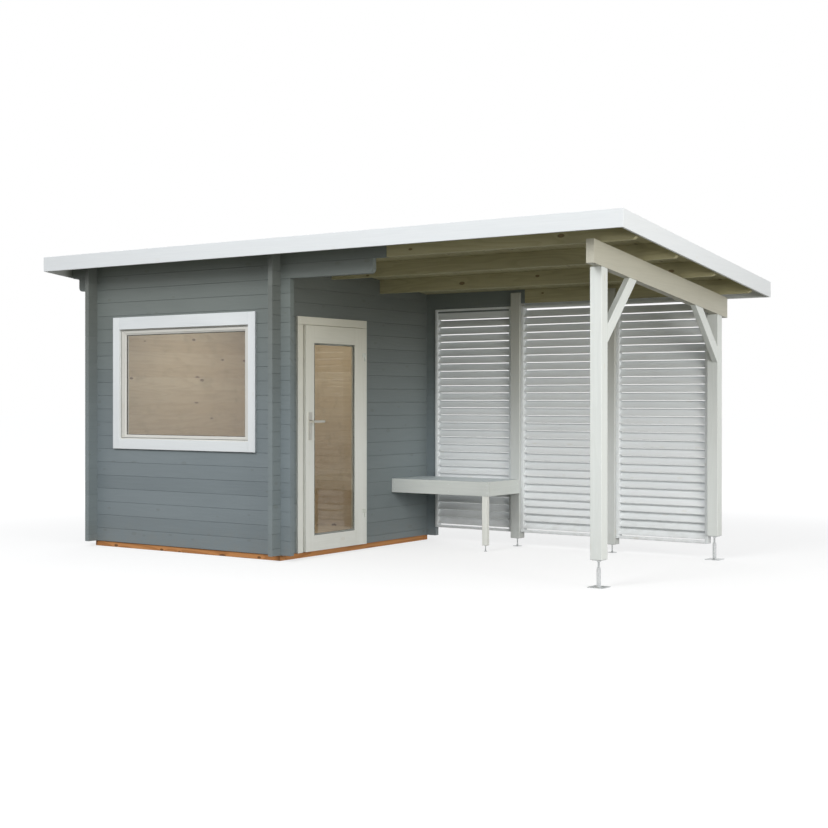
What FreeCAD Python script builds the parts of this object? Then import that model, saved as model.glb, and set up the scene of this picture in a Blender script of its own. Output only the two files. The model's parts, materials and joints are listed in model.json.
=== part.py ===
"""Outdoor sauna cabin: a log room with a louvred veranda under one single-pitch roof.

Units are millimetres. While it is built, X = 0 is the outer face of the door wall,
Y = 0 the outer face of the front wall and Z = 0 the ground. The veranda lies on the
+X side. Every piece is moved at the end so that the origin is on the ground, under
the middle of the roof.
"""
import FreeCAD, Part
import math
import os

os.makedirs("parts", exist_ok=True)

# Clearances
seam = 0.3                   # between pieces that rest on or against each other
opening_fit = 3.0            # between a door or window frame and the logs beside it
door_air = 5.0               # round the door leaf, at its hinge side, top and back
latch_air = 6.5              # beside the leaf at its latch side, where it swings past

# Log walls
cabin_length = 2130.0        # left wall to door wall, over the outer faces
cabin_depth = 2100.0         # front wall to back wall, over the outer faces
log_thickness = 44.0
log_pitch = 115.0            # height that one log covers
log_end = 100.0              # log ends past the crossing wall
groove = 2.5                 # bevel along each long edge of a log
front_courses = 20
back_courses = 18
least_wedge = 40.0           # thinnest piece of gable log
top_log_left = 186.0         # top front log, past the left wall
top_log_right = 904.0        # top front log, past the door wall
end_rounding = 35.0          # lower corners of the logs and purlins that show their ends

# Ground beams and floor
beam_height = 45.0
beam_width = 70.0
beam_inset = 12.0
bearer_count = 3
floor_thickness = 28.0

# Roof
roof_left = 327.0            # overhang past the left wall
roof_right = 305.0           # overhang past the right veranda posts
roof_front = 281.0
roof_back = 278.0
deck_thickness = 18.0
felt_thickness = 4.0
fascia_height = 125.0
fascia_thickness = 20.0
fascia_lip = 3.0             # fascia above the felt
purlin_gap_right = 25.0      # purlin end to the inside of the fascia
purlin_gap_left = 27.0
purlin_2_front = 655.0       # front face of the second purlin
purlin_3_front = 1335.0
purlin_joint = 1030.0        # where the two lengths of an outer purlin meet

# Veranda posts and side beam
veranda_length = 2815.0      # door wall to the outer face of the right posts
post_width = 90.0
front_post_in = 13.0         # corner post's face behind the front wall's face
back_post_out = 13.5         # back posts past the back wall's face
post_a_x = 905.0
post_b_x = 1820.0
corner_post_lift = 189.0     # ground to the underside of a corner post
middle_post_lift = 70.0
middle_post_tongue = 91.0    # middle post's head in front of the back purlin
side_beam_width = 60.0
side_beam_height = 163.0
side_beam_front = 100.0      # beam end past the front wall's face
side_beam_back = 125.0       # beam end past the back wall's face
brace_thickness = 45.0
brace_width = 90.0
front_brace_leg = 457.0      # along the beam, from the post to the brace's lower edge
back_brace_leg = 437.0

# Louvre panels
panel_bottom = 123.0
panel_below_wall = 25.0      # panel's top edge under the back purlin
panel_depth = 60.0
panel_setback = 21.5         # post face to panel face
stile_width = 28.0
rail_height = 20.0
slat_pitch = 65.6
slat_rise = 64.0
slat_run = 50.0
slat_thickness = 9.0
slat_gap = 12.8              # least space between a rail and the next slat
slat_seat = 6.0              # slat end let into the stile

# Bench
bench_depth = 513.5          # out from the back posts
bench_top_height = 583.0
bench_board = 28.0
apron_height = 120.0
bench_leg = 45.0
bench_leg_in = 18.0          # leg to the frame's free end
bench_leg_lift = 50.0
cleat_height = 45.0
cleat_width = 28.0

# Feet
corner_plate = 120.0
corner_plate_thickness = 5.0
tube_radius = 15.0
tube_height = 120.0
rod_radius = 8.0
nut_radius = 15.0
nut_height = 10.0
cap_width = 70.0
cap_thickness = 4.0
middle_plate_radius = 42.0
middle_rod_radius = 5.0
bench_plate_radius = 15.0
bench_rod_radius = 4.0
small_plate_thickness = 4.0
small_nut_height = 8.0
plate_sides = 20

# Door
leaf_front = 264.0           # latch edge of the leaf
leaf_width = 787.0
leaf_bottom = 50.0
leaf_top = 1877.0
leaf_thickness = 40.0
leaf_face = 42.0             # outer face of the leaf past the wall
frame_overlap = 15.0         # leaf over its frame
frame_width = 45.0
casing_thickness = 20.0
casing_latch = 64.5
casing_hinge = 60.0
casing_top = 65.0
glass_front = 372.0
glass_back = 920.0
glass_bottom = 174.0
glass_top = 1738.0
glass_thickness = 4.0
glass_setback = 6.0          # leaf's outer face to its pane
glass_seat = 12.0            # pane let into its frame
pane_clearance = 0.3
threshold_height = 28.0

# Door hardware
hinge_heights = (280.0, 1600.0)
knuckle_radius = 6.0
knuckle_length = 35.0
knuckle_gap = 0.5
hinge_out = 8.0              # hinge line past the leaf's face
hinge_pin_radius = 3.0
pin_clearance = 0.05
hinge_plate = 3.0
hinge_plate_width = 30.0
lever_y = 318.0
lever_z = 1100.0
lever_radius = 9.0
lever_out = 50.0             # lever's outer face past the leaf
lever_bar = 10.0             # thickness of the lever's flat bar
lever_length = 135.0
lock_plate_width = 40.0
lock_plate_height = 225.0
lock_plate_thickness = 6.0
lock_plate_below = 150.0
spindle_radius = 4.5
spindle_clearance = 0.3

# Window
window_from_left = 260.0     # casing's edge to the left wall's face
window_right = 250.0         # casing's edge to the door wall's face
window_bottom = 854.0
window_top = 1983.0
window_casing_side = 75.0
window_casing_top = 104.0
window_sill = 85.0
sash_width = 62.0
sash_depth = 56.0
sash_show_side = 46.0        # frame that shows inside the casing
sash_show_top = 37.0
sash_show_bottom = 24.0
window_glass_setback = 18.0
window_glass_thickness = 6.0

# Places that follow from the sizes above
slope = (front_courses - back_courses) * log_pitch / (cabin_depth - log_thickness)
log_base = beam_height
front_wall_top = log_base + front_courses * log_pitch
back_wall_top = log_base + back_courses * log_pitch
deck_base = front_wall_top + log_pitch
inner_left = -cabin_length + log_thickness
back_wall_y = cabin_depth - log_thickness
front_post_y = front_post_in
back_post_y = cabin_depth + back_post_out - post_width
bench_front = back_post_y - bench_depth
window_left = cabin_length - window_from_left
middle_post_top = back_wall_top + middle_post_tongue
panel_top = back_wall_top - panel_below_wall
slat_room = panel_top - panel_bottom - 2 * rail_height - 2 * slat_gap
slat_count = 1 + int((slat_room - slat_rise) / slat_pitch)
deck_left = -cabin_length - roof_left
deck_right = veranda_length + roof_right
deck_front = -roof_front
deck_back = cabin_depth + roof_back
purlin_left = deck_left + fascia_thickness + purlin_gap_left
purlin_right = deck_right - fascia_thickness - purlin_gap_right
side_post_x = veranda_length - post_width
side_beam_x = veranda_length - side_beam_width
brace_x = veranda_length - brace_thickness
origin = FreeCAD.Vector(-(deck_left + deck_right) / 2, -(deck_front + deck_back) / 2, 0)


def vec(x, y, z):
    return FreeCAD.Vector(x, y, z)


def deck_z(y):
    """Height of the deck's underside at a given depth."""
    return deck_base - slope * (y - log_thickness / 2)


def box(x0, x1, y0, y1, z0, z1):
    return Part.makeBox(x1 - x0, y1 - y0, z1 - z0, vec(x0, y0, z0))


def prism(points, sweep):
    """Straight solid whose end face is the polygon through the points."""
    return Part.Face(Part.makePolygon(points + points[:1])).extrude(sweep)


def side_prism(outline, x0, x1):
    """Solid with a side outline of (y, z) points, from x0 to x1."""
    return prism([vec(x0, y, z) for y, z in outline], vec(x1 - x0, 0, 0))


def cylinder(radius, length, base, axis):
    return Part.makeCylinder(radius, length, base, axis)


def inflated(solid_box, by):
    """The bounding box of a piece, larger by a clearance on every side."""
    b = solid_box.BoundBox
    return box(b.XMin - by, b.XMax + by, b.YMin - by, b.YMax + by, b.ZMin - by, b.ZMax + by)


def save(name, *pieces):
    """Write one node, its solids moved to the part's own origin."""
    solids = [s for piece in pieces for s in piece.Solids]
    shape = solids[0] if len(solids) == 1 else Part.makeCompound(solids)
    shape = shape.copy()
    shape.translate(origin)
    shape.exportStep("parts/" + name + ".step")
    print(name, len(solids), "solids", sum(len(s.Faces) for s in solids), "faces")


# Everything above the deck's underside, for trimming logs and purlins
above_deck = side_prism([(deck_front * 2, deck_z(deck_front * 2)), (deck_back * 2, deck_z(deck_back * 2)),
                         (deck_back * 2, deck_base * 2), (deck_front * 2, deck_base * 2)],
                        deck_left * 2, deck_right * 2)


def log_outline(near, bottom, top, outward):
    """Section of a log, distance through the wall against height, its outer edges bevelled."""
    inner = near if outward > 0 else near + log_thickness
    outer = near + log_thickness - inner + near
    edge = outer - outward * groove
    return [(inner, bottom), (edge, bottom), (outer, bottom + groove),
            (outer, top - groove), (edge, top), (inner, top)]


def log_along_x(x0, x1, wall_y, bottom, top, outward):
    outline = log_outline(wall_y, bottom, top, outward)
    return prism([vec(x0, y, z) for y, z in outline], vec(x1 - x0, 0, 0))


def log_along_y(y0, y1, wall_x, bottom, top, outward):
    outline = log_outline(wall_x, bottom, top, outward)
    return prism([vec(x, y0, z) for x, z in outline], vec(0, y1 - y0, 0))


def lap_notches(base, cross_places, along):
    """Half-height notches under a log, where it sits over the logs of another wall."""
    cuts = []
    low_z, high_z = base - seam, base + log_pitch / 2 + seam
    for place in cross_places:
        low, high = place - seam, place + log_thickness + seam
        if along == "x":
            cuts.append(box(low, high, -log_end * 3, cabin_depth + log_end * 3, low_z, high_z))
        else:
            cuts.append(box(-cabin_length - log_end * 3, log_end * 3, low, high, low_z, high_z))
    return cuts


side_wall_places = (-cabin_length, -log_thickness)
end_wall_places = (0.0, back_wall_y)


def rounded_ends(log, x0, x1, wall_y, bottom, left, right):
    """Round the lower corners of a log or purlin where its ends show."""
    for rounded, x, way in ((left, x0, 1), (right, x1, -1)):
        if not rounded:
            continue
        corner = box(min(x, x + way * end_rounding), max(x, x + way * end_rounding),
                     wall_y - groove, wall_y + log_thickness + groove,
                     bottom - seam, bottom + end_rounding)
        round_bar = cylinder(end_rounding, log_thickness + 4 * groove,
                             vec(x + way * end_rounding, wall_y - 2 * groove, bottom + end_rounding),
                             vec(0, 1, 0))
        log = log.cut(corner.cut(round_bar))
    return log


def end_wall(wall_y, courses, right_of_top, free_end, outward):
    """Logs of the front or back wall; the top one carries the roof beside the room."""
    logs = []
    for i in range(courses):
        bottom = log_base + i * log_pitch
        is_top = i == courses - 1
        x0 = -cabin_length - (top_log_left if is_top else log_end)
        x1 = right_of_top if is_top else log_end
        log = log_along_x(x0, x1, wall_y, bottom + seam, bottom + log_pitch, outward)
        log = rounded_ends(log, x0, x1, wall_y, bottom + seam, is_top, is_top and free_end)
        logs.append(log.cut(lap_notches(bottom, side_wall_places, "x")))
    return logs


def gable_log(wall_x, base, y0, y1, outward):
    """Log under the sloping deck, reaching up to it where no further log fits."""
    top = base + log_pitch
    step_y = log_thickness / 2 + (deck_base - top - least_wedge) / slope
    last_y = min(y1, log_thickness / 2 + (deck_base - base - least_wedge) / slope)
    step_y = max(y0, min(step_y, last_y))
    outline = [(y0, base + seam), (last_y, base + seam), (last_y, deck_z(last_y)), (step_y, deck_z(step_y))]
    if step_y > y0:
        outline += [(step_y, top), (y0, top)]
    log = side_prism(outline, wall_x, wall_x + log_thickness)
    face_x = wall_x if outward < 0 else wall_x + log_thickness
    for z, from_y, to_y in ((base + seam, y0, last_y), (top, y0, step_y)):
        if to_y > from_y:
            log = log.cut(prism([vec(face_x - groove, from_y, z), vec(face_x, from_y, z - groove),
                                 vec(face_x + groove, from_y, z), vec(face_x, from_y, z + groove)],
                                vec(0, to_y - from_y, 0)))
    return log.cut(above_deck)


def side_wall(wall_x, passing, outward):
    """Logs of the left or door wall, half a course up, with the gable's logs on top."""
    logs = []
    base = log_base - log_pitch / 2
    y0, y1 = -log_end, cabin_depth + log_end
    while base + least_wedge < deck_z(y0):
        top = base + log_pitch
        if top + least_wedge <= deck_z(y1):
            log = log_along_y(y0, y1, wall_x, max(base, log_base) + seam, top, outward)
        else:
            log = gable_log(wall_x, base, y0, y1, outward)
        log = log.cut(lap_notches(base, end_wall_places, "y") + passing)
        logs.append((base, log))
        base += log_pitch
    return logs


def purlin(x0, x1, front_y, bottom, left, right, notched):
    """Roof purlin: flat below, planed to the deck's slope above."""
    beam = box(x0, x1, front_y, front_y + log_thickness, bottom + seam, bottom + log_pitch + 2 * groove)
    beam = rounded_ends(beam, x0, x1, front_y, bottom + seam, left, right).cut(above_deck)
    return beam.cut(lap_notches(bottom, side_wall_places, "x")) if notched else beam


def purlin_bottom(front_y):
    return deck_z(front_y + log_thickness / 2) - log_pitch


# Roof purlins
front_purlin_cabin = purlin(purlin_left, purlin_joint - seam, 0.0, front_wall_top, True, False, True)
front_purlin_veranda = purlin(purlin_joint, purlin_right, 0.0, front_wall_top, False, True, False)
back_purlin_cabin = purlin(purlin_left, purlin_joint - seam, back_wall_y, back_wall_top, True, False, True)
back_purlin_veranda = purlin(purlin_joint, purlin_right, back_wall_y, back_wall_top, False, True, False)
inner_purlins = [purlin(purlin_left, purlin_right, y, purlin_bottom(y), True, True, False)
                 for y in (purlin_2_front, purlin_3_front)]
save("purlin_front_cabin", front_purlin_cabin)
save("purlin_front_veranda", front_purlin_veranda)
save("purlin_inner_front", inner_purlins[0])
save("purlin_inner_back", inner_purlins[1])
save("purlin_back_cabin", back_purlin_cabin)
save("purlin_back_veranda", back_purlin_veranda)

# Door and window openings
door_frame_y0 = leaf_front + frame_overlap - frame_width
door_frame_y1 = leaf_front + leaf_width - frame_overlap + frame_width
door_frame_top = leaf_top - frame_overlap + frame_width
doorway = box(-log_thickness - groove, groove, door_frame_y0 - opening_fit, door_frame_y1 + opening_fit,
              log_base - seam, door_frame_top + opening_fit)
pane_x0 = -window_left + window_casing_side + sash_show_side
pane_x1 = -window_right - window_casing_side - sash_show_side
pane_z0 = window_bottom + window_sill + sash_show_bottom
pane_z1 = window_top - window_casing_top - sash_show_top
window_hole = box(pane_x0 - sash_width - opening_fit, pane_x1 + sash_width + opening_fit,
                  -groove, log_thickness + groove,
                  pane_z0 - sash_width - seam, pane_z1 + sash_width + opening_fit)

# Walls
front_logs = end_wall(0.0, front_courses, top_log_right, True, -1)
back_logs = end_wall(back_wall_y, back_courses, post_a_x - seam, False, 1)
save("front_wall", *[log.cut(window_hole) for log in front_logs])
save("back_wall", *back_logs)
passing_purlins = [inflated(p, seam) for p in inner_purlins]
for y, bottom in ((0.0, front_wall_top), (back_wall_y, back_wall_top)):
    passing_purlins.append(box(purlin_left, purlin_right, y - seam, y + log_thickness + seam,
                               bottom + log_pitch / 2, deck_base * 2))
save("left_wall", *[log for _, log in side_wall(-cabin_length, passing_purlins, -1)])
before_door, beyond_door, over_door = [], [], []
for base, log in side_wall(-log_thickness, passing_purlins, 1):
    if base + log_pitch > door_frame_top + opening_fit:
        over_door.append(log.cut(doorway))
        continue
    front_part, back_part = sorted(log.cut(doorway).Solids, key=lambda s: s.BoundBox.YMin)
    before_door.append(front_part)
    beyond_door.append(back_part)
save("door_wall_front", *before_door)
save("door_wall_back", *beyond_door)
save("door_wall_over_door", *over_door)

# Ground beams, bearers and floor
ground_x0, ground_x1 = -cabin_length + beam_inset, -beam_inset
ground_y0, ground_y1 = beam_inset, cabin_depth - beam_inset
save("ground_beams",
     box(ground_x0, ground_x1, ground_y0, ground_y0 + beam_width, 0, beam_height),
     box(ground_x0, ground_x1, ground_y1 - beam_width, ground_y1, 0, beam_height),
     *[box(x, x + beam_width, ground_y0 + beam_width + seam, ground_y1 - beam_width - seam, 0, beam_height)
       for x in (ground_x0, ground_x1 - beam_width)])
bearer_step = (ground_x1 - ground_x0 - beam_width) / (bearer_count + 1)
save("floor_bearers",
     *[box(ground_x0 + bearer_step * (i + 1), ground_x0 + bearer_step * (i + 1) + beam_width,
           ground_y0 + beam_width + seam, ground_y1 - beam_width - seam, 0, beam_height)
       for i in range(bearer_count)])
save("floor", box(inner_left + seam, -log_thickness - seam, log_thickness + seam, back_wall_y - seam,
                  beam_height + seam, beam_height + floor_thickness))

# Roof deck, felt and fascia boards
deck_edge = fascia_thickness + seam
deck_y0, deck_y1 = deck_front + deck_edge, deck_back - deck_edge


def roof_layer(above, thickness):
    """Sheet on the roof slope, from a height above the deck's underside."""
    return side_prism([(deck_y0, deck_z(deck_y0) + above), (deck_y1, deck_z(deck_y1) + above),
                       (deck_y1, deck_z(deck_y1) + above + thickness),
                       (deck_y0, deck_z(deck_y0) + above + thickness)],
                      deck_left + deck_edge, deck_right - deck_edge)


def fascia_top(y):
    return deck_z(y) + deck_thickness + felt_thickness + fascia_lip


def side_fascia(x):
    """Sloping board between the front and back boards."""
    y0, y1 = deck_front + fascia_thickness + seam, deck_back - fascia_thickness - seam
    return side_prism([(y0, fascia_top(y0) - fascia_height), (y1, fascia_top(y1) - fascia_height),
                       (y1, fascia_top(y1)), (y0, fascia_top(y0))], x, x + fascia_thickness)


def end_fascia(y):
    """Level board across the front or back of the roof."""
    top = fascia_top(y)
    return box(deck_left, deck_right, y, y + fascia_thickness, top - fascia_height, top)


save("roof_deck", roof_layer(seam, deck_thickness - seam))
save("roof_felt", roof_layer(deck_thickness + seam, felt_thickness - seam))
save("fascia_front", end_fascia(deck_front))
save("fascia_back", end_fascia(deck_back - fascia_thickness))
save("fascia_left", side_fascia(deck_left))
save("fascia_right", side_fascia(deck_right - fascia_thickness))

# Veranda posts, side beam and braces
beam_y0, beam_y1 = -side_beam_front, cabin_depth + side_beam_back


def beam_top(y):
    return deck_z(y) - log_pitch


def beam_bottom(y):
    return beam_top(y) - side_beam_height


side_beam = side_prism([(beam_y0, beam_bottom(beam_y0)), (beam_y1, beam_bottom(beam_y1)),
                        (beam_y1, beam_top(beam_y1)), (beam_y0, beam_top(beam_y0))],
                       side_beam_x, veranda_length)
seats = [inflated(p, seam) for p in (front_purlin_veranda, back_purlin_veranda, *inner_purlins)]
save("side_beam", side_beam.cut(seats))
under_beam = side_prism([(beam_y0 * 2, beam_bottom(beam_y0 * 2) - seam),
                         (beam_y1 * 2, beam_bottom(beam_y1 * 2) - seam),
                         (beam_y1 * 2, deck_base * 2), (beam_y0 * 2, deck_base * 2)],
                        side_post_x - post_width, veranda_length + post_width)


def corner_post(y):
    post = box(side_post_x, veranda_length, y, y + post_width, corner_post_lift, front_wall_top)
    return post.cut(under_beam)


def middle_post(x):
    """Post whose head is notched at the back to carry the back purlin."""
    post = box(x, x + post_width, back_post_y, back_post_y + post_width, middle_post_lift, middle_post_top)
    head = box(x - seam, x + post_width + seam, back_wall_y - seam, back_post_y + post_width + seam,
               back_wall_top, middle_post_top + seam)
    return post.cut(head)


save("post_front_right", corner_post(front_post_y))
save("post_back_right", corner_post(back_post_y))
save("post_back_middle_1", middle_post(post_a_x))
save("post_back_middle_2", middle_post(post_b_x))


def brace(corner_y, way, leg):
    """Diagonal between a post and the beam; way is +1 or -1 along the beam."""
    far_y = corner_y + way * leg
    side = brace_width * math.sqrt(2)
    start = corner_y + way * seam
    foot = beam_bottom(far_y) - leg
    strut = side_prism([(start, foot), (start, foot + side), (far_y, foot + side + leg),
                        (far_y + way * side, foot + side + leg), (far_y, foot + leg)],
                       brace_x, veranda_length)
    return strut.cut(under_beam)


save("brace_front", brace(front_post_y + post_width, 1, front_brace_leg))
save("brace_back", brace(back_post_y, -1, back_brace_leg))

# Louvre panels
panel_y = back_post_y + panel_setback
inset = (panel_depth - slat_run) / 2


def louvre_panel(x0, x1):
    """Stiles and rails with slanted slats let into the stiles, low at the front."""
    panel = box(x0, x0 + stile_width, panel_y, panel_y + panel_depth, panel_bottom, panel_top)
    rails = [box(x1 - stile_width, x1, panel_y, panel_y + panel_depth, panel_bottom, panel_top)]
    for z in (panel_bottom, panel_top - rail_height):
        rails.append(box(x0 + stile_width - slat_seat, x1 - stile_width + slat_seat,
                         panel_y, panel_y + panel_depth, z, z + rail_height))
    front = panel_y + inset
    for i in range(slat_count):
        z = panel_bottom + rail_height + slat_gap + i * slat_pitch
        rails.append(side_prism([(front, z), (front + slat_run, z + slat_rise - slat_thickness),
                                 (front + slat_run, z + slat_rise), (front, z + slat_thickness)],
                                x0 + stile_width - slat_seat, x1 - stile_width + slat_seat))
    return panel.fuse(rails)


# The first panel is rebated over the back wall's top log, which runs on to the post behind it
top_log_room = inflated(back_logs[-1], seam)
panel_ends = [(log_end, post_a_x), (post_a_x + post_width, post_b_x), (post_b_x + post_width, side_post_x)]
for number, (x0, x1) in enumerate(panel_ends, 1):
    save("louvre_panel_%d" % number, louvre_panel(x0 + seam, x1 - seam).cut(top_log_room))

# Bench between the door wall and the first middle post
bench_right = post_a_x + post_width
bench_back = back_post_y - seam
apron_bottom = bench_top_height - apron_height
board_bottom = bench_top_height - bench_board
save("bench_top", box(seam, bench_right - bench_board - seam, bench_front + bench_board + seam, bench_back,
                      board_bottom, bench_top_height))
save("bench_frame",
     box(seam, bench_right, bench_front, bench_front + bench_board, apron_bottom, bench_top_height),
     box(bench_right - bench_board, bench_right, bench_front + bench_board + seam, bench_back,
         apron_bottom, bench_top_height),
     box(seam, cleat_width, bench_front + bench_board + seam, bench_back,
         board_bottom - seam - cleat_height, board_bottom - seam))
leg_right = bench_right - bench_leg_in
save("bench_leg", box(leg_right - bench_leg, leg_right, bench_front, bench_front + bench_leg,
                      bench_leg_lift, apron_bottom - seam))

# Adjustable feet


def regular_prism(sides, radius, height, x, y, z):
    """Upright prism on a regular polygon, such as a nut."""
    turns = [2 * math.pi * i / sides for i in range(sides)]
    corners = [vec(x + radius * math.cos(turn), y + radius * math.sin(turn), z) for turn in turns]
    return prism(corners, vec(0, 0, height))


def square_foot(x, y, lift):
    """Square plate, tube, threaded rod, nut and cap plate under a corner post."""
    up = vec(0, 0, 1)
    foot = box(x - corner_plate / 2, x + corner_plate / 2, y - corner_plate / 2, y + corner_plate / 2,
               0, corner_plate_thickness)
    cap_z = lift - seam - cap_thickness
    nut_z = corner_plate_thickness + tube_height
    return foot.fuse([cylinder(tube_radius, tube_height, vec(x, y, corner_plate_thickness), up),
                      cylinder(rod_radius, cap_z - nut_z, vec(x, y, nut_z), up),
                      regular_prism(6, nut_radius, nut_height, x, y, cap_z - nut_height),
                      box(x - cap_width / 2, x + cap_width / 2, y - cap_width / 2, y + cap_width / 2,
                          cap_z, lift - seam)])


def round_foot(x, y, lift, plate_radius, rod):
    """Many-sided plate on a thin rod, with a nut against the piece that it carries."""
    return regular_prism(plate_sides, plate_radius, small_plate_thickness, x, y, 0).fuse([
        cylinder(rod, lift - seam - small_plate_thickness, vec(x, y, small_plate_thickness), vec(0, 0, 1)),
        regular_prism(6, rod * 2, small_nut_height, x, y, lift - seam - small_nut_height)])


half_post = post_width / 2
save("corner_post_feet", *[square_foot(side_post_x + half_post, y + half_post, corner_post_lift)
                           for y in (front_post_y, back_post_y)])
save("small_feet", *[round_foot(x + half_post, back_post_y + half_post, middle_post_lift,
                                middle_plate_radius, middle_rod_radius) for x in (post_a_x, post_b_x)],
     round_foot(leg_right - bench_leg / 2, bench_front + bench_leg / 2, bench_leg_lift,
                bench_plate_radius, bench_rod_radius))


def grooved_frame(x0, x1, z0, z1, side, bottom, top, y0, y1, pane):
    """Four members round a pane: two uprights, with a top and bottom member between them."""
    members = [box(x0, x0 + side, y0, y1, z0, z1), box(x1 - side, x1, y0, y1, z0, z1),
               box(x0 + side + seam, x1 - side - seam, y0, y1, z0, z0 + bottom),
               box(x0 + side + seam, x1 - side - seam, y0, y1, z1 - top, z1)]
    return [m.cut(inflated(pane, pane_clearance)) for m in members] if pane else members


# Window: pane, frame in the wall and casing boards on its face
window_pane = box(pane_x0 - glass_seat, pane_x1 + glass_seat,
                  window_glass_setback, window_glass_setback + window_glass_thickness,
                  pane_z0 - glass_seat, pane_z1 + glass_seat)
save("window_glass", window_pane)
save("window_frame", *grooved_frame(pane_x0 - sash_width, pane_x1 + sash_width,
                                    pane_z0 - sash_width, pane_z1 + sash_width,
                                    sash_width, sash_width, sash_width, 0.0, sash_depth, window_pane))
save("window_casing", *grooved_frame(-window_left, -window_right, window_bottom, window_top,
                                     window_casing_side, window_sill, window_casing_top,
                                     -casing_thickness - seam, -seam, None))

# Door: frame in the wall, casing boards, leaf with its pane
leaf_back_x = leaf_face - leaf_thickness
leaf_hinge_edge = leaf_front + leaf_width
frame_face = leaf_back_x - door_air
frame_z0 = beam_height + seam
jamb_z0 = frame_z0 + threshold_height + seam
save("door_frame",
     box(-log_thickness, frame_face, door_frame_y0, door_frame_y0 + frame_width, jamb_z0, door_frame_top),
     box(-log_thickness, frame_face, door_frame_y1 - frame_width, door_frame_y1, jamb_z0, door_frame_top),
     box(-log_thickness, frame_face, door_frame_y0 + frame_width + seam, door_frame_y1 - frame_width - seam,
         door_frame_top - frame_width, door_frame_top),
     box(-log_thickness, frame_face, door_frame_y0, door_frame_y1, frame_z0, frame_z0 + threshold_height))
casing_y0 = leaf_front - latch_air
casing_y1 = leaf_hinge_edge + door_air
casing_z1 = leaf_top + door_air
save("door_casing",
     box(seam, casing_thickness + seam, casing_y0 - casing_latch, casing_y0, log_base, casing_z1),
     box(seam, casing_thickness + seam, casing_y1, casing_y1 + casing_hinge, log_base, casing_z1),
     box(seam, casing_thickness + seam, casing_y0 - casing_latch, casing_y1 + casing_hinge,
         casing_z1 + seam, casing_z1 + seam + casing_top))

door_pane_x = leaf_face - glass_setback - glass_thickness
door_pane = box(door_pane_x, door_pane_x + glass_thickness, glass_front - glass_seat, glass_back + glass_seat,
                glass_bottom - glass_seat, glass_top + glass_seat)
save("door_glass", door_pane)
spindle_hole = cylinder(spindle_radius + spindle_clearance, leaf_thickness + 2 * groove,
                        vec(leaf_back_x - groove, lever_y, lever_z), vec(1, 0, 0))
pane_room = inflated(door_pane, pane_clearance)
leaf_members = [
    box(leaf_back_x, leaf_face, leaf_front, glass_front, leaf_bottom, leaf_top).cut(spindle_hole),
    box(leaf_back_x, leaf_face, glass_back, leaf_hinge_edge, leaf_bottom, leaf_top),
    box(leaf_back_x, leaf_face, glass_front + seam, glass_back - seam, leaf_bottom, glass_bottom),
    box(leaf_back_x, leaf_face, glass_front + seam, glass_back - seam, glass_top, leaf_top)]
save("door_leaf", *[m.cut(pane_room) for m in leaf_members])

# Hinges: the lower knuckle and its pin stay on the casing, the upper one is on the leaf
hinge_x = leaf_face + hinge_out
hinge_y = leaf_hinge_edge + door_air / 2
plate_side = hinge_y + knuckle_radius - hinge_plate
wing_x = casing_thickness + 2 * seam
fixed_hinges, leaf_hinges = [], []
for z in hinge_heights:
    upward = vec(0, 0, 1)
    lower = cylinder(knuckle_radius, knuckle_length, vec(hinge_x, hinge_y, z), upward)
    pin = cylinder(hinge_pin_radius, 2 * knuckle_length, vec(hinge_x, hinge_y, z), upward)
    arm = box(wing_x, hinge_x, plate_side, plate_side + hinge_plate, z, z + knuckle_length)
    wing = box(wing_x, wing_x + hinge_plate, plate_side, plate_side + hinge_plate_width,
               z, z + knuckle_length)
    fixed_hinges.append(lower.fuse([pin, arm, wing]))
    upper_z = z + knuckle_length + knuckle_gap
    upper = cylinder(knuckle_radius, knuckle_length, vec(hinge_x, hinge_y, upper_z), upward)
    bore = cylinder(hinge_pin_radius + pin_clearance, knuckle_length + 2 * seam,
                    vec(hinge_x, hinge_y, upper_z - seam), upward)
    strap = box(leaf_face + seam, leaf_face + seam + hinge_plate,
                leaf_hinge_edge - hinge_plate_width, hinge_y, upper_z, upper_z + knuckle_length)
    leaf_hinges.append(upper.fuse(strap).cut(bore))
save("door_hinges_frame", *fixed_hinges)
save("door_hinges_leaf", *leaf_hinges)


# Lever handle on both faces of the leaf, turning on one spindle
def lock_plate(x):
    plate = box(x, x + lock_plate_thickness, lever_y - lock_plate_width / 2, lever_y + lock_plate_width / 2,
                lever_z - lock_plate_below, lever_z - lock_plate_below + lock_plate_height)
    hole = cylinder(lever_radius + spindle_clearance, lock_plate_thickness + 2,
                    vec(x - 1, lever_y, lever_z), vec(1, 0, 0))
    return plate.cut(hole)


def lever(face_x, way):
    """Round neck out of the plate, with a flat round-ended bar that runs towards the hinges."""
    start = face_x + way * seam
    end = face_x + way * lever_out
    neck = cylinder(lever_radius, lever_out - seam - lever_bar, vec(start, lever_y, lever_z), vec(way, 0, 0))
    far_y = lever_y + lever_length - lever_radius
    low, high = lever_z - lever_radius, lever_z + lever_radius
    rim = Part.Wire([Part.LineSegment(vec(end, lever_y, high), vec(end, far_y, high)).toShape(),
                     Part.Arc(vec(end, far_y, high), vec(end, far_y + lever_radius, lever_z),
                              vec(end, far_y, low)).toShape(),
                     Part.LineSegment(vec(end, far_y, low), vec(end, lever_y, low)).toShape(),
                     Part.Arc(vec(end, lever_y, low), vec(end, lever_y - lever_radius, lever_z),
                              vec(end, lever_y, high)).toShape()])
    return neck.fuse(Part.Face(rim).extrude(vec(-way * lever_bar, 0, 0)))


spindle = cylinder(spindle_radius, leaf_thickness + 2 * lock_plate_thickness,
                   vec(leaf_back_x - lock_plate_thickness, lever_y, lever_z), vec(1, 0, 0))
save("door_lock_plates", lock_plate(leaf_face + seam), lock_plate(leaf_back_x - seam - lock_plate_thickness))
save("door_lever", spindle.fuse([lever(leaf_face + seam, 1), lever(leaf_back_x - seam, -1)]))
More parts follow.
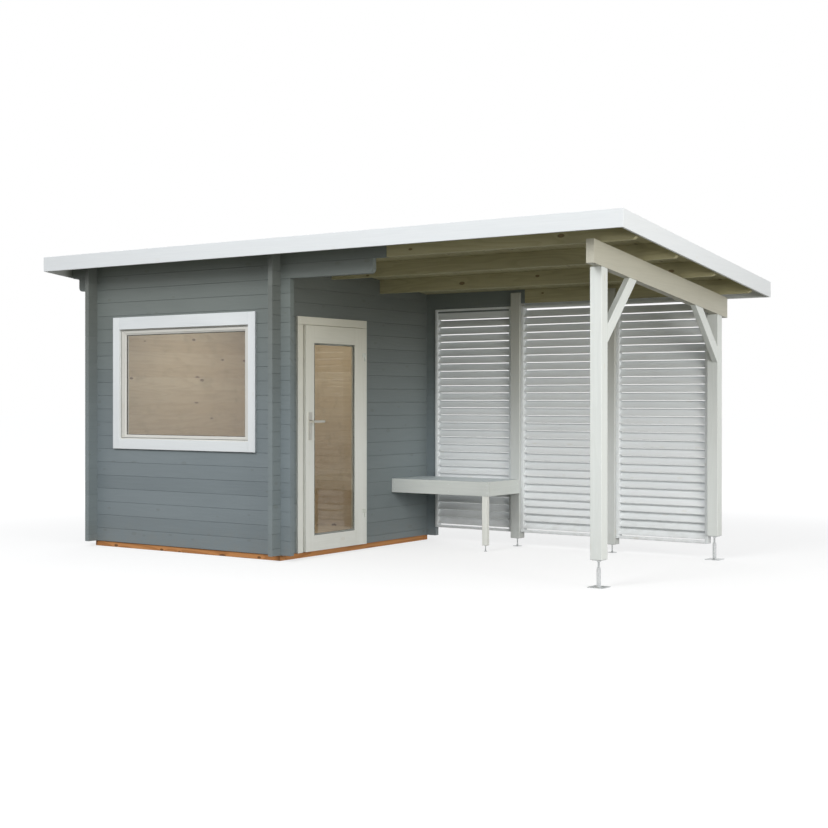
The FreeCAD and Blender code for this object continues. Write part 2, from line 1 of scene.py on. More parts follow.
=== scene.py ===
import json
import math

import bmesh
import bpy
import numpy as np
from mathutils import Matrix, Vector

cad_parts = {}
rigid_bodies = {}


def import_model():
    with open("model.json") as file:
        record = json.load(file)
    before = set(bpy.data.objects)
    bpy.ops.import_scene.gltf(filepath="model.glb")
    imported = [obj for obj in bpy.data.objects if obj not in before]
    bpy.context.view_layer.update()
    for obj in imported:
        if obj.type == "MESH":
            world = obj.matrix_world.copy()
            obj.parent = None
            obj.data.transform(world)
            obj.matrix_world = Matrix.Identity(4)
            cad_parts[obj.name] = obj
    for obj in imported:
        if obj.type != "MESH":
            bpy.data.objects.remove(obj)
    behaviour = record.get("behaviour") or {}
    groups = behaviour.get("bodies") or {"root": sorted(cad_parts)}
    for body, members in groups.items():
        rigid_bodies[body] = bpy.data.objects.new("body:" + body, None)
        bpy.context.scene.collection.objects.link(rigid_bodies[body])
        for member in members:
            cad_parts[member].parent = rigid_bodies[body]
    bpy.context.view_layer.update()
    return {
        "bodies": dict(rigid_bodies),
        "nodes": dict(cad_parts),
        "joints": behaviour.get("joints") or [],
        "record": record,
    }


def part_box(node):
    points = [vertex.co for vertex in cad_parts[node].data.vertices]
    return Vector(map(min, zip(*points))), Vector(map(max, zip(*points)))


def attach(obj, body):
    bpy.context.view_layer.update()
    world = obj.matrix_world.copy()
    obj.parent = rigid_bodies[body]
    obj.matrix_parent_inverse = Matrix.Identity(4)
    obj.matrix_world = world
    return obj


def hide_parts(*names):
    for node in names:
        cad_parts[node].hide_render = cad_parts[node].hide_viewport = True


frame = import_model()
cabin = frame["nodes"]
bodyOf = {name: body for body, names in frame["record"]["behaviour"]["bodies"].items() for name in names}
print("frame loaded:", len(cabin), "nodes")


def span(node):  # lowest and highest corner of a node as one flat array x0 y0 z0 x1 y1 z1
    low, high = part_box(node)
    return np.array([*low, *high])


def tint(code):  # "#rrggbb" as a linear colour
    parts = [int(code[i:i + 2], 16) / 255 for i in (1, 3, 5)]
    return [p / 12.92 if p <= 0.04045 else ((p + 0.055) / 1.055) ** 2.4 for p in parts] + [1.0]


def feed(tree, socket, value):  # links another node's output, or sets a plain value
    if isinstance(value, bpy.types.NodeSocket):
        tree.links.new(value, socket)
    else:
        socket.default_value = value


def addNode(tree, kind, inputs=None, **settings):  # gives the new node's outputs
    made = tree.nodes.new("ShaderNode" + kind)
    for name, value in settings.items():
        setattr(made, name, value)
    for name, value in (inputs or {}).items():
        feed(tree, made.inputs[name], value)
    return made.outputs


def calc(tree, operation, a, b=0.0, c=0.0, clamp=False):
    return addNode(tree, "Math", {0: a, 1: b, 2: c}, operation=operation, use_clamp=clamp)[0]


def times(tree, a, b):
    return calc(tree, "MULTIPLY", a, b)


def inverse(tree, value):  # 1 where the value is 0, and 0 where it is 1
    return calc(tree, "SUBTRACT", 1.0, value)


def ease(tree, value, low, high):  # 0 below low, 1 above high, smooth between
    return addNode(tree, "MapRange", {"Value": value, "From Min": low, "From Max": high},
                   interpolation_type="SMOOTHSTEP")[0]


def mixColour(tree, factor, a, b, mode="MIX"):
    return addNode(tree, "Mix", {0: factor, 6: a, 7: b}, data_type="RGBA", blend_type=mode)[2]


def between(tree, factor, low, high):  # from one "#rrggbb" to another
    return mixColour(tree, factor, tint(low), tint(high))


def coloured(tree, colour, mask, strength, code):  # lays a colour over another where the mask is
    return mixColour(tree, times(tree, mask, strength), colour, tint(code))


def mixValue(tree, factor, a, b):
    return addNode(tree, "Mix", {0: factor, 2: a, 3: b}, data_type="FLOAT")[0]


def heightOf(tree, place):
    return addNode(tree, "SeparateXYZ", {0: place})[2]


def scaled(tree, vector, factors):
    return addNode(tree, "VectorMath", {0: vector, 1: factors}, operation="MULTIPLY")[0]


def noise(tree, place, scale, detail, roughness=0.5):  # scale is one number, or one for each axis
    if isinstance(scale, tuple):
        place, scale = scaled(tree, place, scale), 1.0
    inputs = {"Vector": place, "Scale": scale, "Detail": detail, "Roughness": roughness}
    return addNode(tree, "TexNoise", inputs)[0]


def cells(tree, place, scale):  # distance to the nearest point, and that cell's random number
    made = addNode(tree, "TexVoronoi", {"Vector": place, "Scale": scale})
    return made["Distance"], addNode(tree, "SeparateColor", {0: made["Color"]})[0]


def boardOf(tree):  # number of the board that a point is on, from the mesh
    return addNode(tree, "Attribute", attribute_name="board")["Fac"]


def randomOf(tree, number):
    return addNode(tree, "TexWhiteNoise", {"W": number}, noise_dimensions="1D")[0]


def newGroup(name, inputs, outputs):
    group = bpy.data.node_groups.new(name, "ShaderNodeTree")
    for label, start in inputs.items():
        kind = "NodeSocketVector" if start is None else "NodeSocketFloat"
        socket = group.interface.new_socket(name=label, in_out="INPUT", socket_type=kind)
        if start is not None:
            socket.default_value = start
    for label in outputs:
        kind = "NodeSocketVector" if label == "Vector" else "NodeSocketFloat"
        group.interface.new_socket(name=label, in_out="OUTPUT", socket_type=kind)
    source = group.nodes.new("NodeGroupInput")
    sink = group.nodes.new("NodeGroupOutput")
    return group, source.outputs, lambda label, value: group.links.new(value, sink.inputs[label])


timber = {"offsets": (7.31, 3.17, 1.93),         # from one board's number to its place in the pattern
          "ringStretch": (0.7, 6.0, 6.0), "fibreStretch": (7.0, 240.0, 240.0),
          "knotSpacing": (3.6, 7.5, 0.0), "knotLeast": 0.045, "knotSpread": 0.085, "knotPull": 1.5}


def makeTimberGrain():
    # Grain of a sawn softwood face. Vector is (along the grain, across, spare). The growth rings are the
    # level lines of a noise that is stretched along the grain and pulled in round each knot.
    group, given, put = newGroup(
        "timberGrain", {"Vector": None, "Board": 0.0, "Rings": 9.0, "Knots": 0.5, "KnotSize": 1.0},
        ["Late", "Fibre", "Knot", "Rim", "Tone"])
    shift = addNode(group, "CombineXYZ", {axis: times(group, given["Board"], offset)
                                          for axis, offset in enumerate(timber["offsets"])})[0]
    place = addNode(group, "VectorMath", {0: given["Vector"], 1: shift}, operation="ADD")[0]
    wide = noise(group, place, timber["ringStretch"], 2.0, 0.45)
    spots = addNode(group, "TexVoronoi", {"Vector": scaled(group, place, timber["knotSpacing"]), "Scale": 1.0},
                    voronoi_dimensions="2D")
    draw = addNode(group, "SeparateColor", {0: spots["Color"]})
    size = calc(group, "MULTIPLY_ADD", draw[0], timber["knotSpread"], timber["knotLeast"])
    away = calc(group, "DIVIDE", spots["Distance"], times(group, size, given["KnotSize"]))
    present = calc(group, "LESS_THAN", draw[1], given["Knots"])
    pull = calc(group, "DIVIDE", timber["knotPull"], calc(group, "MULTIPLY_ADD", away, away, 1.0))
    phase = calc(group, "MULTIPLY_ADD", wide, given["Rings"], times(group, pull, present))
    turn = calc(group, "FRACT", phase)
    late = times(group, ease(group, turn, 0.35, 0.9), inverse(group, ease(group, turn, 0.9, 1.0)))
    fibre = noise(group, place, timber["fibreStretch"], 2.0)
    knot = times(group, inverse(group, ease(group, away, 0.7, 1.05)), present)
    rim = times(group, ease(group, away, 0.62, 0.95), inverse(group, ease(group, away, 0.95, 1.5)))
    rim = times(group, rim, present)
    tone = randomOf(group, given["Board"])
    for label, value in (("Late", late), ("Fibre", fibre), ("Knot", knot), ("Rim", rim), ("Tone", tone)):
        put(label, value)
    return group


def makeBrushwork():
    # Paint laid on with a brush: long faint streaks along the board and slow changes of thickness
    group, given, put = newGroup("brushwork", {"Vector": None}, ["Streak", "Patch"])
    for label, stretch, detail, roughness in (("Streak", (3.0, 95.0, 95.0), 3.0, 0.6),
                                              ("Patch", (1.3, 2.6, 2.6), 4.0, 0.55)):
        put(label, noise(group, given["Vector"], stretch, detail, roughness))
    return group


logs = {"pitch": 0.115, "jointCore": 0.0005, "jointEdge": 0.0035, "jointShade": 0.1, "skin": 0.003}


def makeCourses():
    # Number of the log that a height belongs to, and how near the height is to a joint (1 in the joint)
    group, given, put = newGroup("courses", {"Height": 0.0, "Start": 0.0, "Pitch": logs["pitch"]},
                                 ["Number", "Joint"])
    steps = calc(group, "DIVIDE", calc(group, "SUBTRACT", given["Height"], given["Start"]), given["Pitch"])
    part = calc(group, "FRACT", steps)
    near = times(group, calc(group, "MINIMUM", part, inverse(group, part)), given["Pitch"])
    put("Number", calc(group, "FLOOR", steps))
    put("Joint", inverse(group, ease(group, near, logs["jointCore"], logs["jointEdge"])))
    return group


def makeGroundDust():
    # Faint dust thrown up by rain: strongest at the ground, gone at the height Reach
    group, given, put = newGroup("groundDust", {"Vector": None, "Reach": 0.5}, ["Mask"])
    spots = noise(group, given["Vector"], 14.0, 5.0)
    share = calc(group, "DIVIDE", heightOf(group, given["Vector"]), given["Reach"])
    fall = calc(group, "SUBTRACT", 1.0, share, clamp=True)
    put("Mask", times(group, times(group, fall, fall), ease(group, spots, 0.3, 0.75)))
    return group


floorBox = span("floor")
roomEdges = ((0, floorBox[0], floorBox[3]), (1, floorBox[1], floorBox[4]))  # axis, low and high side of the floor


def makeInsideRoom():
    # 1 on the room's own side of the walls, 0 on the weather side: a box test on the object's coordinates
    group, given, put = newGroup("insideRoom", {"Vector": None}, ["Mask"])
    axes = addNode(group, "SeparateXYZ", {0: given["Vector"]})
    inside = 1.0
    for axis, low, high in roomEdges:
        above = calc(group, "GREATER_THAN", axes[axis], low - logs["skin"])
        below = calc(group, "LESS_THAN", axes[axis], high + logs["skin"])
        inside = times(group, times(group, inside, above), below)
    put("Mask", inside)
    return group


groups = {"timberGrain": makeTimberGrain(), "brushwork": makeBrushwork(), "courses": makeCourses(),
          "groundDust": makeGroundDust(), "insideRoom": makeInsideRoom()}
print("shader groups made")


def useGroup(tree, name, inputs):
    made = tree.nodes.new("ShaderNodeGroup")
    made.node_tree = groups[name]
    for label, value in inputs.items():
        feed(tree, made.inputs[label], value)
    return made.outputs


slant = math.sqrt(0.5)  # each part of a unit step at 45 degrees, as the braces stand
grainAxes = {  # directions whose products with the place give (along, across, spare)
    "x": ((1, 0, 0), (0, 1, 1), (0, 1, -1)),
    "y": ((0, 1, 0), (1, 0, 1), (1, 0, -1)),
    "z": ((0, 0, 1), (1, 1, 0), (1, -1, 0)),
    "rising": ((0, slant, slant), (1, slant, -slant), (1, -slant, slant)),
    "falling": ((0, slant, -slant), (1, slant, slant), (1, -slant, -slant)),
}


def newMaterial(name):
    material = bpy.data.materials.new(name)
    material.use_nodes = True
    tree = material.node_tree
    place = addNode(tree, "TexCoord")["Object"]
    return material, tree, tree.nodes["Principled BSDF"], place


def grainSpace(tree, place, grain):
    # Object coordinates as (along, across, spare). Across is the sum of the two other directions, so the
    # pattern has its true scale on every face of a board and runs on round its edges.
    dots = [addNode(tree, "VectorMath", {0: place, 1: axis}, operation="DOT_PRODUCT")["Value"]
            for axis in grainAxes[grain]]
    return addNode(tree, "CombineXYZ", {0: dots[0], 1: dots[1], 2: dots[2]})[0]


def pineLook(tree, space, board, look):  # colour, roughness and height of planed, unpainted pine
    grain = useGroup(tree, "timberGrain", {"Vector": space, "Board": board, "Rings": look["rings"],
                                           "Knots": look["knots"], "KnotSize": look["knotSize"]})
    colour = between(tree, grain["Tone"], look["pale"], look["warm"])
    for mask, strength, code in (("Late", look["ringDepth"], "late"), ("Fibre", 0.22, "late"),
                                 ("Knot", 0.8, "knot"), ("Rim", 0.75, "rim")):
        colour = coloured(tree, colour, grain[mask], strength, look[code])
    rough = calc(tree, "MULTIPLY_ADD", grain["Fibre"], 0.2, look["rough"])
    height = calc(tree, "MULTIPLY_ADD", grain["Late"], 0.5, grain["Fibre"])
    return colour, rough, height


# heights where the painted eave shade begins and where it is full
eaveShadeHeights = {"shadeStart": 0.7, "shadeFull": 2.25}  # heights


def eaveShaded(tree, place, colour, low, high):  # painted eave shade: multiplies the colour by a tint that runs from low to high between the two heights, darker up under the eaves
    upward = ease(tree, heightOf(tree, place), eaveShadeHeights["shadeStart"], eaveShadeHeights["shadeFull"])
    return mixColour(tree, 1.0, colour, between(tree, upward, low, high), "MULTIPLY")


def paintLook(tree, place, space, board, look):  # the same for a painted board: the grain shows through faintly
    grain = useGroup(tree, "timberGrain", {"Vector": space, "Board": board, "Knots": look["knots"]})
    brush = useGroup(tree, "brushwork", {"Vector": space})
    dust = useGroup(tree, "groundDust", {"Vector": place, "Reach": look["dustReach"]})
    colour = between(tree, grain["Tone"], look["dark"], look["light"])
    for mask, strength, code in ((ease(tree, brush["Patch"], 0.3, 0.7), 1.0, look["paint"]),
                                 (ease(tree, brush["Streak"], 0.35, 0.75), look["streak"], look["light"]),
                                 (grain["Late"], look["grainShow"], look["dark"]),
                                 (grain["Knot"], look["knotShow"], look["stain"]),
                                 (dust["Mask"], look["dust"], "#8d8676")):
        colour = coloured(tree, colour, mask, strength, code)
    # painted eave shade, where the look gives a tint for it
    if "eaveShade" in look:
        colour = eaveShaded(tree, place, colour, "#ffffff", look["eaveShade"])
    rough = calc(tree, "MULTIPLY_ADD", brush["Patch"], 0.18, look["rough"])
    height = calc(tree, "MULTIPLY_ADD", grain["Late"], 0.4, times(tree, grain["Fibre"], 0.45))
    return colour, rough, calc(tree, "MULTIPLY_ADD", brush["Streak"], 0.7, height)


def finishSurface(tree, shader, colour, rough, height, depth):
    bump = addNode(tree, "Bump", {"Height": height, "Strength": 1.0, "Distance": depth})[0]
    for name, value in (("Base Color", colour), ("Roughness", rough), ("Normal", bump)):
        tree.links.new(value, shader.inputs[name])


# Paints and timbers. A numbered look gives each board its own tone and its own place in the pattern.
pineColours = {"name": "pine", "pale": "#d6c7ae", "warm": "#cab698", "late": "#ab9170",
               "knot": "#6d4527", "rim": "#4a2d1a", "rings": 10.0, "ringDepth": 0.24, "knots": 0.2,
               "knotSize": 0.7, "rough": 0.45, "bump": 0.0004, "numbered": True}
# shadedPine and deckShadedPine: pine painted darker and greener, as painted shade for the wood under the roof
shadeColours = dict(pineColours, name="shadedPine", pale="#c1bd9a", warm="#b7b08c", late="#9d946e",
                    knot="#6f5433", rim="#503c22", ringDepth=0.35, rough=0.55, numbered=False)
shadedDeckColours = dict(shadeColours, name="deckShadedPine", numbered=True)
treatedColours = dict(pineColours, name="treatedPine", pale="#d6975f", warm="#cb8850", late="#9c6234",
                      knot="#5e3a1e", rim="#3f2614", rings=8.0, ringDepth=0.55, knots=0.16, knotSize=0.8,
                      rough=0.6, bump=0.0007)
wallColours = {"name": "wallPaint", "paint": "#808a8d", "light": "#869093", "dark": "#7a8487",
               "stain": "#66685f", "knots": 0.4, "streak": 0.35, "grainShow": 0.14, "knotShow": 0.22,
               "dustReach": 0.45, "dust": 0.25, "rough": 0.42, "bump": 0.0006, "numbered": True}
whiteColours = {"name": "whitePaint", "paint": "#e4e7e9", "light": "#ebeef0", "dark": "#dadee1",
                "stain": "#cfc9ba", "knots": 0.15, "streak": 0.4, "grainShow": 0.12, "knotShow": 0.12,
                "dustReach": 0.3, "dust": 0.2, "rough": 0.34, "bump": 0.0004, "numbered": False}
casingColours = dict(whiteColours, name="casingPaint", paint="#ecf0f2", light="#f1f4f6", dark="#e2e6e8",
                     numbered=True)
creamColours = {"name": "creamPaint", "paint": "#e3e7e4", "light": "#ebeeeb", "dark": "#d6dad6",
                "stain": "#cbbf9f", "knots": 0.2, "streak": 0.45, "grainShow": 0.18, "knotShow": 0.14,
                "dustReach": 0.5, "dust": 0.35, "rough": 0.4, "bump": 0.0005, "numbered": False}
variedCream = dict(creamColours, numbered=True)
louvreColours = dict(variedCream, name="louvrePaint", paint="#e9eced", light="#f0f2f3", dark="#dfe3e4")
# bench top and apron: the cream paint darkened and cooled as painted shade under the roof
shadedBenchColours = dict(variedCream, name="benchShadedPaint", paint="#c3cbcd", light="#cad2d4", dark="#bac2c4")
shadedApronColours = dict(variedCream, name="apronShadedPaint", paint="#d9ddd9", light="#e0e3df", dark="#cfd3cf")
# door paint: the cream lightened as painted light for the light falling on the door's side, and darker up top as
# painted eave shade
litDoorColours = dict(variedCream, name="doorLitPaint", paint="#f4f5ef", light="#f8f9f4", dark="#ebece5", dust=0.05,
                   eaveShade="#e6e2d8")
# middle posts: the cream paint darkened as painted shade from the roof, and darker up top as painted eave shade
shadedMiddleColours = dict(variedCream, name="middlePostShadedPaint", paint="#d6d9d7", light="#dddfde", dark="#ccd0cd",
                     eaveShade="#eae7e0")
sashColours = dict(variedCream, name="sashPaint", paint="#dbd9d2", light="#e2e1dc", dark="#cfcdc6")
beamColours = dict(variedCream, name="beamPaint", paint="#c3c0b1", light="#cbc8ba", dark="#b7b4a4")
madeMaterials = {}


def timberMaterial(look, grain):  # one material for each look and each direction of the grain
    name = look["name"] + grain.capitalize()
    if name not in madeMaterials:
        material, tree, shader, place = newMaterial(name)
        board = boardOf(tree) if look["numbered"] else 0.0
        space = grainSpace(tree, place, grain)
        painted = "paint" in look
        made = paintLook(tree, place, space, board, look) if painted else pineLook(tree, space, board, look)
        finishSurface(tree, shader, *made, look["bump"])
        madeMaterials[name] = material
    return madeMaterials[name]


frontStart = span("front_wall")[2]          # underside of the first log
sideStart = frontStart - logs["pitch"] / 2  # the side walls lie half a log lower


def logWall(name, grain, start, low, high):  # grey paint on the weather side, bare pine on the room's side
    material, tree, shader, place = newMaterial(name)
    space = grainSpace(tree, place, grain)
    course = useGroup(tree, "courses", {"Height": heightOf(tree, place), "Start": start, "Pitch": logs["pitch"]})
    painted = paintLook(tree, place, space, course["Number"], wallColours)
    bare = pineLook(tree, space, course["Number"], pineColours)
    inside = useGroup(tree, "insideRoom", {"Vector": place})["Mask"]
    # painted eave shade on the paint: darker towards the top of the wall
    shaded = eaveShaded(tree, place, painted[0], low, high)
    shaded = coloured(tree, shaded, course["Joint"], logs["jointShade"], "#2c3133")
    colour = mixColour(tree, inside, shaded, bare[0])
    rough = mixValue(tree, inside, painted[1], bare[1])
    height = mixValue(tree, inside, painted[2], bare[2])
    finishSurface(tree, shader, colour, rough, height, wallColours["bump"])
    return material


def feltMaterial():  # mineral-faced roofing felt: fine light and dark granules on black bitumen
    material, tree, shader, place = newMaterial("roofingFelt")
    distance, speck = cells(tree, place, 620.0)
    colour = between(tree, ease(tree, speck, 0.2, 1.0), "#2c2d30", "#5b5c5f")
    colour = coloured(tree, colour, randomOf(tree, boardOf(tree)), 0.3, "#4c4d50")
    colour = coloured(tree, colour, ease(tree, noise(tree, place, 2.2, 5.0), 0.35, 0.7), 0.4, "#3a3b3c")
    finishSurface(tree, shader, colour, calc(tree, "MULTIPLY_ADD", speck, 0.1, 0.85), distance, 0.0008)
    return material


def galvanisedMaterial():  # hot-dip zinc: pale angular crystals and dull patches
    material, tree, shader, place = newMaterial("galvanisedSteel")
    crystal = cells(tree, place, 190.0)[1]
    dull = noise(tree, place, 60.0, 4.0)
    colour = coloured(tree, between(tree, crystal, "#c3c6c7", "#dfe1e1"), ease(tree, dull, 0.5, 0.75), 0.5, "#eceeec")
    rough = calc(tree, "MULTIPLY_ADD", crystal, 0.14, calc(tree, "MULTIPLY_ADD", dull, 0.2, 0.26))
    finishSurface(tree, shader, colour, rough, dull, 0.0002)
    shader.inputs["Metallic"].default_value = 0.9
    return material


def nickelMaterial():  # satin nickel: fine brushing lines and a few finger marks
    material, tree, shader, place = newMaterial("satinNickel")
    lines = noise(tree, place, (900.0, 60.0, 900.0), 2.0)
    marks = calc(tree, "MULTIPLY_ADD", noise(tree, place, 45.0, 3.0), 0.14, 0.18)
    rough = calc(tree, "MULTIPLY_ADD", lines, 0.12, marks)
    finishSurface(tree, shader, between(tree, lines, "#d6d3ca", "#e6e3db"), rough, lines, 0.00005)
    shader.inputs["Metallic"].default_value = 1.0
    return material


def coatedMaterial():  # powder coat on steel: fine orange peel, a trace of wear
    material, tree, shader, place = newMaterial("powderCoat")
    wear = noise(tree, place, 30.0, 4.0)
    colour = between(tree, ease(tree, wear, 0.35, 0.7), "#dadcd4", "#e3e6e0")
    rough = calc(tree, "MULTIPLY_ADD", wear, 0.15, 0.38)
    finishSurface(tree, shader, colour, rough, noise(tree, place, 900.0, 2.0), 0.00006)
    return material


def glassMaterial(name, stain, ior):  # clear pane, a little dull where dust and rain marks sit
    material, tree, shader, place = newMaterial(name)
    mask = ease(tree, noise(tree, place, 9.0, 6.0, 0.6), 0.5, 0.8)
    tree.links.new(between(tree, mask, "#f4f7f3", stain), shader.inputs["Base Color"])
    tree.links.new(calc(tree, "MULTIPLY_ADD", mask, 0.06, 0.015), shader.inputs["Roughness"])
    shader.inputs["Transmission Weight"].default_value = 1.0
    shader.inputs["IOR"].default_value = ior
    return material


def dress(node, material):
    cabin[node].data.materials.clear()
    cabin[node].data.materials.append(material)


zinc, nickel, coat, bitumen = galvanisedMaterial(), nickelMaterial(), coatedMaterial(), feltMaterial()
# each log wall's last two colours are tints for painted eave shade, low down and up under the eaves
for material, nodes in (
        (logWall("frontLogs", "x", frontStart, "#f9f9fb", "#e5e1d7"),
         ("front_wall", "back_wall", "purlin_front_cabin", "purlin_back_cabin")),
        (logWall("sideLogs", "y", sideStart, "#faf9f8", "#d6cfc4"),
         ("left_wall", "door_wall_front", "door_wall_back", "door_wall_over_door")),
        (glassMaterial("windowPane", "#e6eae4", 1.7), ("window_glass",)),
        (glassMaterial("doorPane", "#e4e6df", 1.5), ("door_glass",))):
    for node in nodes:
        dress(node, material)
print("walls and panes finished")


creaseAngle = math.radians(32)


def addObject(name, content):
    made = bpy.data.objects.new(name, content)
    bpy.context.scene.collection.objects.link(made)
    return made


def placed(name, mesh, node, body=None):  # smooth but for its creases, on the node's body
    mesh.polygons.foreach_set("use_smooth", [True] * len(mesh.polygons))
    mesh.set_sharp_from_angle(angle=creaseAngle)
    piece = addObject(name, mesh)
    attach(piece, body or bodyOf[node])
    return piece


def standsFor(piece, node):  # the hidden node wears the piece's material too
    dress(node, piece.data.materials[0])
    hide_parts(node)


def numberBoards(mesh, numbers):
    mesh.attributes.new("board", "FLOAT", "POINT").data.foreach_set("value", np.asarray(numbers, np.float32))


def meshFrom(name, points, faces, materials, numbers=None):
    mesh = bpy.data.meshes.new(name)
    mesh.from_pydata(np.asarray(points).tolist(), [], faces)
    if numbers is not None:
        numberBoards(mesh, numbers)
    for material in materials:
        mesh.materials.append(material)
    return mesh


def putMesh(name, points, faces, material, like, numbers=None, body=None):
    # A new piece of closed parts, with their faces turned outwards. It rides with the node that it belongs
    # to, unless a body is named.
    mesh = meshFrom(name, points, faces, [material], numbers)
    shell = bmesh.new()
    shell.from_mesh(mesh)
    bmesh.ops.recalc_face_normals(shell, faces=shell.faces)
    shell.to_mesh(mesh)
    shell.free()
    return placed(name, mesh, like, body)


def pointsOf(mesh):
    points = np.zeros(len(mesh.vertices) * 3)
    mesh.vertices.foreach_get("co", points)
    return points.reshape(-1, 3)


def firstCorners(mesh):  # one point's number for each face
    firsts, corners = np.zeros(len(mesh.polygons), int), np.zeros(len(mesh.loops), int)
    mesh.polygons.foreach_get("loop_start", firsts)
    mesh.loops.foreach_get("vertex_index", corners)
    return corners[firsts]


def others(axis):
    return [a for a in range(3) if a != axis]


def joined(parts):  # several (points, faces, numbers) as one
    points, faces, numbers, count = [], [], [], 0
    for some, shape, number in parts:
        points.append(some)
        faces += [[i + count for i in face] for face in shape]
        numbers.append(np.broadcast_to(np.asarray(number, float), len(some)))
        count += len(some)
    return np.concatenate(points), faces, np.concatenate(numbers)


def gridFaces(rows, columns):  # quads between neighbouring rows of a grid whose rows are closed rings
    row, column = np.meshgrid(np.arange(rows - 1), np.arange(columns), indexing="ij")
    after = (column + 1) % columns
    quads = np.stack([row * columns + column, row * columns + after,
                      (row + 1) * columns + after, (row + 1) * columns + column], -1)
    return quads.reshape(-1, 4).tolist()


def capped(rows, columns):  # faces of a grid whose rows are closed rings, with both ends shut
    last = (rows - 1) * columns
    return gridFaces(rows, columns) + [list(range(columns))[::-1], list(range(last, last + columns))]


def easedBoards(spans, along, easing):
    # Boards with eased edges. Each is a rounded rectangle carried along one axis: a point is the middle plus
    # the corner's sign times (half size - easing) plus easing times (cos, sin) of the corner's turn, and near
    # both ends the section draws in over the same easing.
    spans = np.atleast_2d(np.asarray(spans, float))
    low, high = spans[:, :3], spans[:, 3:]
    across, up = others(along)
    turns = np.radians(np.add.outer([0, 90, 180, 270], [0, 45, 90])).ravel()
    signs = np.repeat([[1, 1], [-1, 1], [-1, -1], [1, -1]], 3, axis=0)
    arcs = np.stack([np.cos(turns), np.sin(turns)], -1)
    length = high[:, along] - low[:, along]
    inset = easing * np.array([0.3, 1.0, 1.0, 0.3])
    places = np.stack([0 * length, 0 * length + 0.7 * easing, length - 0.7 * easing, length], 1)
    half = (high - low)[:, [across, up]] / 2
    middle = (high + low)[:, [across, up]] / 2
    flat = (middle[:, None, None, :] + signs * (half[:, None, None, :] - easing)
            + inset[None, :, None, None] * arcs)
    points = np.zeros(flat.shape[:3] + (3,))
    points[..., [across, up]] = flat
    points[..., along] = (low[:, along, None] + places)[:, :, None]
    ring = len(turns)
    faces = [[i + 4 * ring * board for i in face] for board in range(len(spans)) for face in capped(4, ring)]
    return points.reshape(-1, 3), faces, np.repeat(np.arange(len(spans)), 4 * ring)


def carried(section, start, end, axis):  # a closed (across, up) section carried straight between two places
    section = np.asarray(section, float)
    across, up = others(axis)
    points = np.zeros((2, len(section), 3))
    points[..., [across, up]] = section
    points[0, :, axis], points[1, :, axis] = start, end
    return points.reshape(-1, 3), capped(2, len(section))


def turned(rows, centre, axis=2, way=1, columns=24, outline=None):
    # A turned piece: rows of (radius, height, lobes) swept round the axis. A point's radius is the row's radius
    # times the outline at its angle, mixed in by lobes, so one surface can pass from round to six-sided.
    rows = np.asarray(rows, float)
    angle = np.arange(columns) * 2 * math.pi / columns
    shape = np.ones(columns) if outline is None else outline(angle)
    radius = rows[:, :1] * (1 + rows[:, 2:3] * (shape[None, :] - 1))
    across, up = others(axis)
    points = np.zeros((len(rows), columns, 3))
    points[..., across] = centre[across] + radius * np.cos(angle)
    points[..., up] = centre[up] + radius * np.sin(angle)
    points[..., axis] = centre[axis] + way * rows[:, 1:2]
    return points.reshape(-1, 3), capped(len(rows), columns)


def sixSided(angle):  # radius of a hexagon with corners at radius 1
    return math.cos(math.pi / 6) / np.cos(angle % (math.pi / 3) - math.pi / 6)


def starLobes(angle):  # a six-lobed screw recess
    return 1 + 0.16 * np.cos(6 * angle)


def mouldedFrame(low, high, depth, axis, section):
    # A moulding mitred round a rectangle: each corner carries the section's (inward, depth) points
    section = np.asarray(section, float)
    signs = np.array([[-1, -1], [1, -1], [1, 1], [-1, 1]])
    low, high = np.asarray(low, float), np.asarray(high, float)
    flat = (low + high) / 2 + signs[:, None, :] * ((high - low)[None, None, :] / 2 - section[None, :, :1])
    across, up = others(axis)
    points = np.zeros((4, len(section), 3))
    points[..., [across, up]] = flat
    points[..., axis] = depth + section[None, :, 1]
    count = len(section)
    faces = gridFaces(4, count) + [[3 * count + k, 3 * count + (k + 1) % count, (k + 1) % count, k]
                                   for k in range(count)]
    return points.reshape(-1, 3), faces


def boardNumbers(mesh, points):
    # Number of the separate board that each point is on: the lowest point's number spreads along the edges
    # until every board has one
    edges = np.zeros(len(mesh.edges) * 2, int)
    mesh.edges.foreach_get("vertices", edges)
    edges = edges.reshape(-1, 2)
    labels = np.arange(len(points))
    before = None
    while before is None or (before != labels).any():
        before = labels.copy()
        lowest = labels[edges].min(1)
        np.minimum.at(labels, edges[:, 0], lowest)
        np.minimum.at(labels, edges[:, 1], lowest)
    return np.unique(labels, return_inverse=True)[1]


def easedCopy(node, easing, look, grain):
    # The node's own solids with softened edges. Each separate board gets its own number and the grain that
    # runs along its longest side, unless one is given for them all.
    shell = bmesh.new()
    shell.from_mesh(cabin[node].data)
    bmesh.ops.remove_doubles(shell, verts=shell.verts, dist=1e-5)
    bmesh.ops.dissolve_limit(shell, angle_limit=math.radians(0.5), verts=shell.verts, edges=shell.edges)
    bmesh.ops.recalc_face_normals(shell, faces=shell.faces)
    mesh = bpy.data.meshes.new(node + "_eased")
    shell.to_mesh(mesh)
    shell.free()
    points = pointsOf(mesh)
    number = boardNumbers(mesh, points)
    numberBoards(mesh, number + 1.0)
    if isinstance(look, bpy.types.Material):
        mesh.materials.append(look)
    elif grain:
        mesh.materials.append(timberMaterial(look, grain))
    else:
        for axis in "xyz":
            mesh.materials.append(timberMaterial(look, axis))
        longest = np.array([int(np.ptp(points[number == board], axis=0).argmax())
                            for board in range(number.max() + 1)])
        mesh.polygons.foreach_set("material_index", longest[number[firstCorners(mesh)]])
    piece = placed(node + "_eased", mesh, node)
    bevel = piece.modifiers.new("easing", "BEVEL")
    bevel.width, bevel.segments, bevel.limit_method = easing, 2, "ANGLE"
    bevel.angle_limit, bevel.harden_normals = math.radians(40), True
    standsFor(piece, node)


